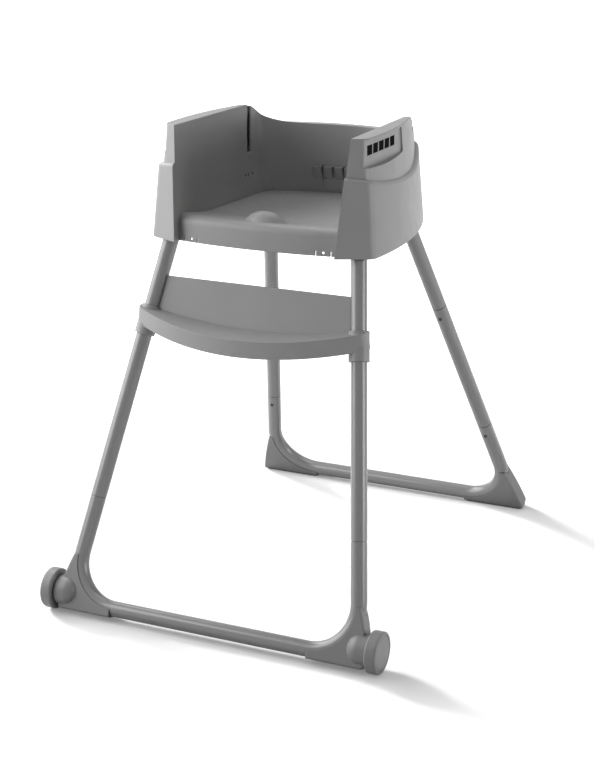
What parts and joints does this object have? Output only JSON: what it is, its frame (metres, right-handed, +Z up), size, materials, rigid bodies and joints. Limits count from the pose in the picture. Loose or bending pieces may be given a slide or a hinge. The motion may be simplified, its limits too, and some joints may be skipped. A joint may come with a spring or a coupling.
{
  "type": "baby high chair",
  "caption": "Baby high chair: a moulded double-wall seat on bent-tube leg frames with snap-locked leg sections, a dished footrest, front wheels and rear feet.",
  "frame": {"origin": "On the floor, under the middle of the overall box", "axes": "+Z up, -Y the front that the child faces, +X to the right of someone looking at the front"},
  "size_m": [0.585, 0.7964, 0.768],
  "materials": {
    "seat_plastic": "satin moulded plastic, mid grey",
    "inlay_plastic": "fine-textured moulded plastic, dark grey",
    "socket_plastic": "moulded plastic, as moulded",
    "steel": "zinc plated",
    "tube_paint": "satin powder coat, grey",
    "corner_plastic": "satin moulded plastic, mid grey",
    "wheel_plastic": "satin moulded plastic, mid grey",
    "cap_plastic": "satin moulded plastic, mid grey",
    "pad_rubber": "matt",
    "button_plastic": "smooth moulded plastic",
    "footrest_plastic": "satin moulded plastic, mid grey"
  },
  "bodies": {
    "frame": {"seat_shell": "seat_plastic", "side_inlays_left": "inlay_plastic", "side_inlays_right": "inlay_plastic", "front_leg_socket_left": "socket_plastic", "front_leg_socket_right": "socket_plastic", "rear_leg_socket_left": "socket_plastic", "rear_leg_socket_right": "socket_plastic", "leg_bolts": "steel", "leg_nuts": "steel", "corner_rivets": "steel", "footrest_screws": "steel", "wheel_axle_left": "steel", "wheel_axle_right": "steel", "front_snap_spring_left": "steel", "front_snap_spring_right": "steel", "rear_upper_snap_spring_left": "steel", "rear_upper_snap_spring_right": "steel", "rear_lower_snap_spring_left": "steel", "rear_lower_snap_spring_right": "steel", "front_leg_left": "tube_paint", "front_leg_right": "tube_paint", "rear_leg_upper_left": "tube_paint", "rear_leg_upper_right": "tube_paint", "rear_leg_middle_left": "tube_paint", "rear_leg_middle_right": "tube_paint", "front_base_tube": "tube_paint", "rear_base_tube": "tube_paint", "wheel_bracket_left": "corner_plastic", "wheel_bracket_right": "corner_plastic", "rear_foot_left": "corner_plastic", "rear_foot_right": "corner_plastic", "foot_pad_left": "pad_rubber", "foot_pad_right": "pad_rubber", "footrest": "footrest_plastic"},
    "wheel_left": {"wheel_left": "wheel_plastic", "wheel_cap_left": "cap_plastic"},
    "wheel_right": {"wheel_right": "wheel_plastic", "wheel_cap_right": "cap_plastic"},
    "front_snap_button_left": {"front_snap_button_left": "button_plastic"},
    "front_snap_button_right": {"front_snap_button_right": "button_plastic"},
    "rear_upper_snap_button_left": {"rear_upper_snap_button_left": "button_plastic"},
    "rear_upper_snap_button_right": {"rear_upper_snap_button_right": "button_plastic"},
    "rear_lower_snap_button_left": {"rear_lower_snap_button_left": "button_plastic"},
    "rear_lower_snap_button_right": {"rear_lower_snap_button_right": "button_plastic"}
  },
  "joints": [
    {"name": "wheel_left_spin", "type": "hinge", "parent": "frame", "child": "wheel_left", "pos_m": [-0.28325, -0.3651, 0.0331], "axis": [1, 0, 0], "continuous": true},
    {"name": "wheel_right_spin", "type": "hinge", "parent": "frame", "child": "wheel_right", "pos_m": [0.28325, -0.3651, 0.0331], "axis": [1, 0, 0], "continuous": true},
    {"name": "front_button_left_press", "type": "slide", "parent": "frame", "child": "front_snap_button_left", "axis": [0, -0.9439, 0.3301], "range_m": [0, 0.004], "stiffness_N_per_m": 400, "springref_m": -0.005, "deforming": ["front_snap_spring_left"]},
    {"name": "front_button_right_press", "type": "slide", "parent": "frame", "child": "front_snap_button_right", "axis": [0, -0.9439, 0.3301], "range_m": [0, 0.004], "stiffness_N_per_m": 400, "springref_m": -0.005, "deforming": ["front_snap_spring_right"]},
    {"name": "rear_upper_button_left_press", "type": "slide", "parent": "frame", "child": "rear_upper_snap_button_left", "axis": [0, 0.9073, 0.4206], "range_m": [0, 0.004], "stiffness_N_per_m": 400, "springref_m": -0.005, "deforming": ["rear_upper_snap_spring_left"]},
    {"name": "rear_upper_button_right_press", "type": "slide", "parent": "frame", "child": "rear_upper_snap_button_right", "axis": [0, 0.9073, 0.4206], "range_m": [0, 0.004], "stiffness_N_per_m": 400, "springref_m": -0.005, "deforming": ["rear_upper_snap_spring_right"]},
    {"name": "rear_lower_button_left_press", "type": "slide", "parent": "frame", "child": "rear_lower_snap_button_left", "axis": [0, 0.9073, 0.4206], "range_m": [0, 0.004], "stiffness_N_per_m": 400, "springref_m": -0.005, "deforming": ["rear_lower_snap_spring_left"]},
    {"name": "rear_lower_button_right_press", "type": "slide", "parent": "frame", "child": "rear_lower_snap_button_right", "axis": [0, 0.9073, 0.4206], "range_m": [0, 0.004], "stiffness_N_per_m": 400, "springref_m": -0.005, "deforming": ["rear_lower_snap_spring_right"]}
  ]
}
